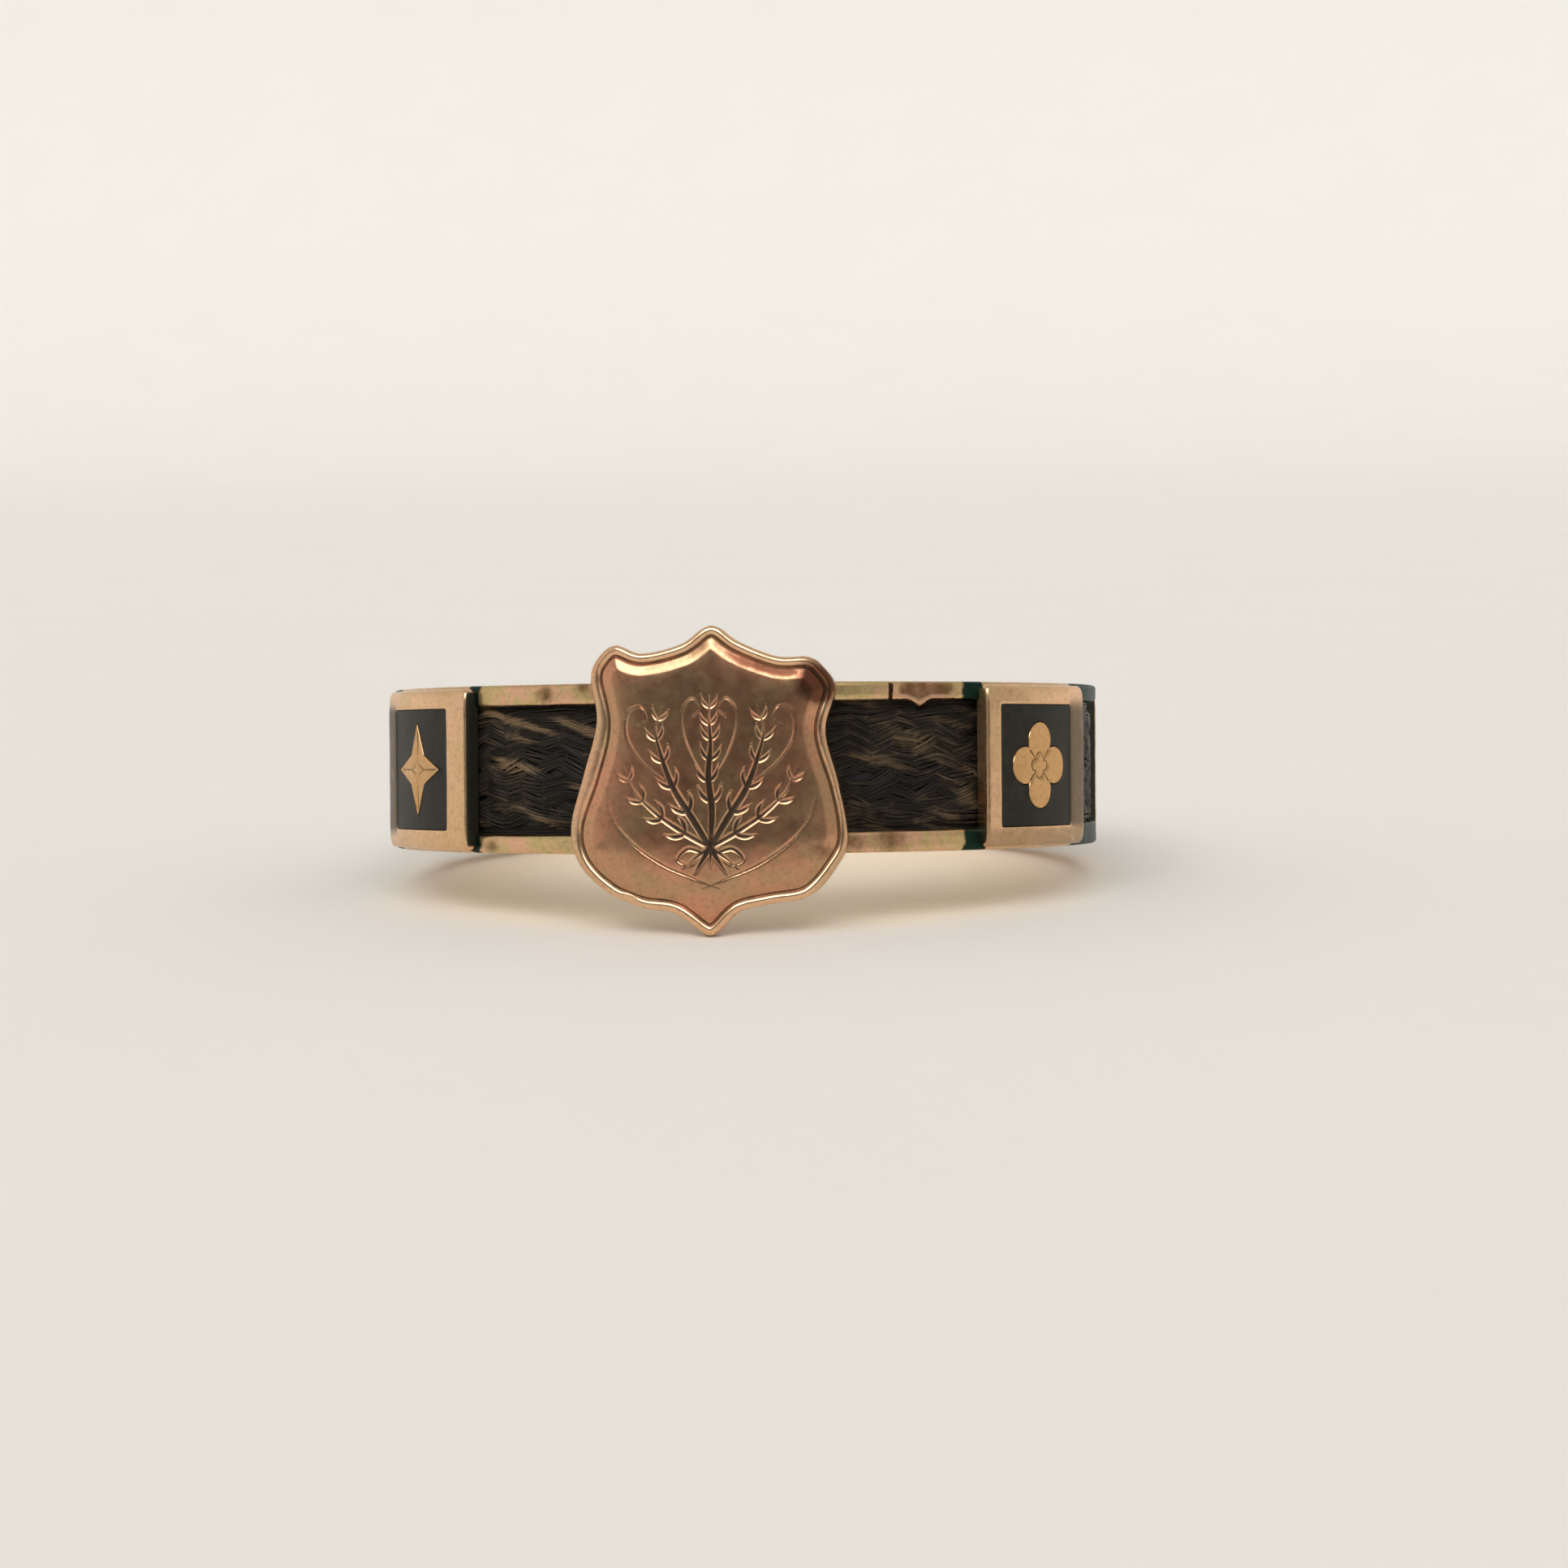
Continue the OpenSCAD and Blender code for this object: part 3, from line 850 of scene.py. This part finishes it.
def makeHair(finish):
    curve = bpy.data.curves.new("strands", "CURVE")
    curve.dimensions = "3D"
    curve.bevel_depth = hair["thickness"] / 2
    curve.bevel_resolution = 0
    chance = np.random.default_rng(7)
    tones = []

    def lay(start, end, way, spot, thick, tone):
        count = int(math.radians(end - start) * hair["radius"] / hair["along"]) + 1
        line = curve.splines.new("POLY")
        line.points.add(count - 1)
        for k in range(count):
            angle = start + (end - start) * k / (count - 1)
            z, r = way(angle, *spot)
            a = math.radians(angle)
            line.points[k].co = (r * math.sin(a), -r * math.cos(a), clamp(z, channelHalf - 0.04), 1)
            line.points[k].radius = thick
            arc = a * hair["radius"]
            broad = noise.noise(Vector((arc * 0.5, z * 0.9, start + 3)))
            patch = noise.noise(Vector((arc * 0.75 + z * 0.9, z * 3.6 + arc * 0.7, start)))
            # painted light: the hair on the left is made lighter than on the right, where less light falls
            light = 0.8 if start > 100 else 0.35      # fewer light hairs on the right
            tones.append(min(1.0, max(0.0, 0.35 * tone + 0.3 * broad + light * step(patch, 0.0, 0.6))))

    for number, (start, end) in enumerate(hairWindows()):
        for bundle in range(hair["bundles"]):
            for strand in range(hair["hairs"]):
                across = (strand + 0.5) / hair["hairs"] * 2 - 1 + chance.normal(0, 0.06)
                stray = chance.random() < hair["strays"]
                seed = Vector((bundle * 3.7, strand * 1.9 + number * 11, 0))
                tone = chance.random()
                lay(start, end, plaited, (bundle, across, seed, stray), 0.75 + 0.25 * tone, tone)
        for side in (-1, 1):
            for place in range(hair["sideHairs"]):
                seed = Vector((side * 5.1, place * 2.7 + number * 11, 4))
                tone = chance.random()
                lay(start, end, straight, (side, place, seed), 1.0, tone * 0.5)
    holder = bpy.data.objects.new("strands", curve)
    bpy.context.scene.collection.objects.link(holder)
    graph = bpy.context.evaluated_depsgraph_get()
    mesh = bpy.data.meshes.new_from_object(holder.evaluated_get(graph))
    bpy.data.objects.remove(holder)
    bpy.data.curves.remove(curve)
    sides = len(mesh.vertices) // len(tones)
    tone = mesh.attributes.new("tone", "FLOAT", "POINT")
    tone.data.foreach_set("value", np.repeat(tones, sides).astype(np.float32))
    bm = bmesh.new()
    bm.from_mesh(mesh)
    bpy.data.meshes.remove(mesh)
    bmesh.ops.holes_fill(bm, edges=[e for e in bm.edges if e.is_boundary], sides=sides)
    settle("hair_strands", bm, finish, "hair_weave", 80)


# Finishes
golds = {
    "shield_gold": {"rose": (208, 150, 117), "green": (190, 152, 115), "patch": 0.6, "rough": 0.215,
                    "dirt": (56, 42, 30)},
    "plaque_gold": {"rose": (232, 188, 148), "green": (224, 184, 138), "patch": 0.5, "rough": 0.23,
                    "dirt": (66, 50, 34)},
    "rail_gold": {"rose": (228, 178, 144), "green": (204, 180, 126), "patch": 1.1, "rough": 0.26,
                  "dirt": (98, 66, 32)},
}
# tarnish and painted shade beside the plaques and on their end walls
tarnishAndShadeColour = (26, 50, 42)
# painted shade on the plaques' borders
borderShadeColour = (96, 82, 64)
brassColour = (212, 166, 112)
# painted brown shade on the shield's upper right slope and shoulder
brownShadeColour = (92, 52, 38)
rimHighlightColour = (242, 200, 158)     # painted highlight on the shield's rim
pitDirt = 0.2      # how strongly the finest pits are darkened


def makeGold(name):
    spec = golds[name]
    paint = Paint(name)
    broad = paint.cloud(spec["patch"], 3, 0.5)
    patchy = paint.cloud(spec["patch"] * 3.6, 4, 0.6)
    grain = paint.cloud(9, 3, 0.6)
    dents = paint.cloud(1.9, 1, 0.4)
    lines = paint.most(paint.scratches((0.3, 0.9, 0.2), 0.63), paint.scratches((1.2, -0.6, 1.9), 0.65))
    dirt = paint.ramp(paint.attribute("patina") + (patchy - 0.5) * 0.5, 0.2, 0.9)
    brown = paint.ramp(paint.attribute("brown") + (patchy - 0.5) * 0.8, 0.2, 0.7)
    film = paint.attribute("film") * paint.ramp(patchy, 0.1, 0.45)
    tarnish = paint.ramp(paint.attribute("tarnish") + (grain - 0.5) * 0.3, 0.1, 0.75)
    mottle = paint.ramp(broad * 0.6 + patchy * 0.4, 0.4, 0.6)
    colour = paint.blend(mottle, tint(*spec["rose"]), tint(*spec["green"]))
    colour = paint.blend(paint.attribute("brass"), colour, tint(*brassColour))
    # painted highlight on the shield's rim
    colour = paint.blend(paint.attribute("pale") * 0.8, colour, tint(*rimHighlightColour))
    colour = paint.blend(paint.ramp(grain, 0.45, 0.7) * pitDirt, colour, tint(*spec["dirt"]))
    # painted shade on the plaques' borders
    colour = paint.blend(film * 0.9, colour, tint(*borderShadeColour))
    # painted brown shade on the shield's slope
    colour = paint.blend(brown * 0.9, colour, tint(*brownShadeColour))
    # patina, and painted shade on the end walls and down in the channel
    colour = paint.blend(dirt, colour, tint(*spec["dirt"]))
    # tarnish, and painted shade beside the plaques
    colour = paint.blend(tarnish, colour, tint(*tarnishAndShadeColour))
    roughness = spec["rough"] + (patchy - 0.5) * 0.16 + lines * 0.03 + dirt * 0.2
    roughness = roughness + film * 0.12 + tarnish * 0.2
    metallic = 1 - dirt * 0.3 - tarnish * 0.05
    return paint.finish({"Base Color": colour, "Roughness": roughness, "Metallic": metallic},
                        bump=dents, depth=0.009)


def makeEnamelFinish():
    paint = Paint("black_enamel")
    patchy = paint.cloud(2.6, 3, 0.6)
    grain = paint.cloud(12, 3, 0.6)
    lines = paint.scratches((0.5, 0.4, 0.9), 0.66)
    colour = paint.blend(paint.ramp(patchy, 0.35, 0.7), tint(24, 23, 19), tint(38, 35, 28))
    return paint.finish({"Base Color": colour, "Roughness": 0.3 + patchy * 0.2 + lines * 0.2,
                         "Specular IOR Level": 0.2, "Specular Tint": (1.0, 0.92, 0.8, 1.0)},
                        bump=grain, depth=0.002)


def makeHairFinish(name, dark, light):
    paint = Paint(name)
    tone = paint.attribute("tone")
    patchy = paint.cloud(3.2, 4, 0.65)
    share = paint.ramp(tone * 0.75 + patchy * 0.5, 0.35, 1.1)
    colour = paint.blend(share, tint(*dark), tint(*light))
    return paint.finish({"Base Color": colour, "Roughness": 0.36 + patchy * 0.2, "Specular IOR Level": 0.35})


shieldGold = makeGold("shield_gold")
plaqueGold = makeGold("plaque_gold")
railGold = makeGold("rail_gold")
blackEnamel = makeEnamelFinish()
strandFinish = makeHairFinish("hair_strand", (30, 26, 21), (124, 102, 76))
coreFinish = makeHairFinish("hair_core", (16, 14, 11), (48, 40, 31))
print("finishes mixed")

makeChannel(railGold)
for number in range(plaque["count"]):
    makePlaque(number, plaqueGold)
    makeEnamel(number, blackEnamel)
makeShield(shieldGold)
makeHairCore(coreFinish)
makeHair(strandFinish)


# Table, light and surroundings
studio = {
    "tableColour": (240, 236, 230),
    "wallColour": (225, 224, 219),
    "sweepWidth": 6.0,     # metres
    "front": 0.5,
    "behind": 0.45,
    "curve": 0.3,
    "wallHeight": 1.2,
    "glowColour": (252, 240, 219),     # painted warm light on the paper close to the ring, standing in for the light that the gold throws on it
    "glowFrom": 0.0075,                # from the ring's middle, where the glow starts to fade and ends
    "glowTo": 0.0115,
    "horizonColour": (230, 228, 224),
    "zenithColour": (198, 197, 194),
    "rightColour": (196, 193, 188),    # the side away from the light
    "shadeColour": (66, 71, 71),       # the dim room behind the camera
    "windowPower": 4.8,
    "windowSides": (-0.46, 0.36),      # as a direction's share to the right
    "windowHeights": (0.44, 0.78),     # as a direction's share upwards
}


def makeTable(spec):
    bm = bmesh.new()
    start = bm.verts.new((-spec["sweepWidth"] / 2, -spec["front"], 0))
    bend = bm.verts.new((-spec["sweepWidth"] / 2, spec["behind"], 0))
    bm.edges.new((start, bend))
    made = bmesh.ops.spin(bm, geom=[bend], cent=(0, spec["behind"], spec["curve"]), axis=(1, 0, 0),
                          dvec=(0, 0, 0), angle=math.pi / 2, steps=24, use_merge=False, use_duplicate=False)
    tip = [g for g in made["geom_last"] if isinstance(g, bmesh.types.BMVert)]
    top = bmesh.ops.extrude_vert_indiv(bm, verts=tip)
    bmesh.ops.translate(bm, vec=(0, 0, spec["wallHeight"]), verts=top["verts"])
    side = bmesh.ops.extrude_edge_only(bm, edges=bm.edges[:])
    across = [g for g in side["geom"] if isinstance(g, bmesh.types.BMVert)]
    bmesh.ops.translate(bm, vec=(spec["sweepWidth"], 0, 0), verts=across)
    bmesh.ops.recalc_face_normals(bm, faces=bm.faces)
    mesh = bpy.data.meshes.new("table")
    bm.to_mesh(mesh)
    bm.free()
    mesh.shade_smooth()
    paint = Paint("table_paper")
    place = paint.add("ShaderNodeTexCoord", output="Object")
    height = paint.add("ShaderNodeSeparateXYZ", {}, {0: place}, output="Z")
    paper = paint.cloud(0.06, 3)
    colour = paint.blend(paper, tint(*spec["tableColour"]), tint(*(c - 3 for c in spec["tableColour"])))
    # painted light: the paper close to the ring is tinted warm
    away = paint.add("ShaderNodeVectorMath", {"operation": "LENGTH"}, {0: place}, output="Value")
    glow = paint.ramp(away, spec["glowFrom"], spec["glowTo"], 1.0, 0.0)
    colour = paint.blend(glow, colour, tint(*spec["glowColour"]))
    colour = paint.blend(paint.ramp(height, 0.01, 0.3), colour, tint(*spec["wallColour"]))
    mesh.materials.append(paint.finish({"Base Color": colour, "Roughness": 0.9}))
    table = bpy.data.objects.new("table", mesh)
    bpy.context.scene.collection.objects.link(table)


def lightRoom(spec):
    world = bpy.data.worlds.new("room")
    bpy.context.scene.world = world
    world.use_nodes = True
    sky = Paint("room", world.node_tree)
    way = sky.add("ShaderNodeTexCoord", output="Generated")
    right = sky.add("ShaderNodeSeparateXYZ", {}, {0: way}, output="X")
    behind, up = right.other("Y"), right.other("Z")
    colour = sky.blend(sky.ramp(up, 0.1, 0.9), tint(*spec["horizonColour"]), tint(*spec["zenithColour"]))
    colour = sky.blend(sky.ramp(right, 0.4, 0.95), colour, tint(*spec["rightColour"]))
    front = sky.ramp(behind * -1, 0.45, 1.0) * sky.ramp(up, 0.22, 0.5, 1.0, 0.0)
    colour = sky.blend(front, colour, tint(*spec["shadeColour"]))
    room = sky.add("ShaderNodeBackground", {}, {"Color": colour, "Strength": 1.0})
    light = sky.add("ShaderNodeBackground", {}, {"Color": (1, 1, 1, 1), "Strength": spec["windowPower"]})
    pane = sky.ramp(behind * -1, 0.0, 0.1)
    for value, (start, end), soft in ((right, spec["windowSides"], 0.06), (up, spec["windowHeights"], 0.03)):
        pane = pane * sky.ramp(value, start - soft, start + soft)
        pane = pane * sky.ramp(value, end - soft, end + soft, 1.0, 0.0)
    whole = sky.add("ShaderNodeMixShader", {}, {0: pane, 1: room, 2: light})
    sky.add("ShaderNodeOutputWorld", {}, {"Surface": whole})
    bpy.context.scene.view_settings.view_transform = "Standard"


makeTable(studio)
lightRoom(studio)
print("table laid and lit")
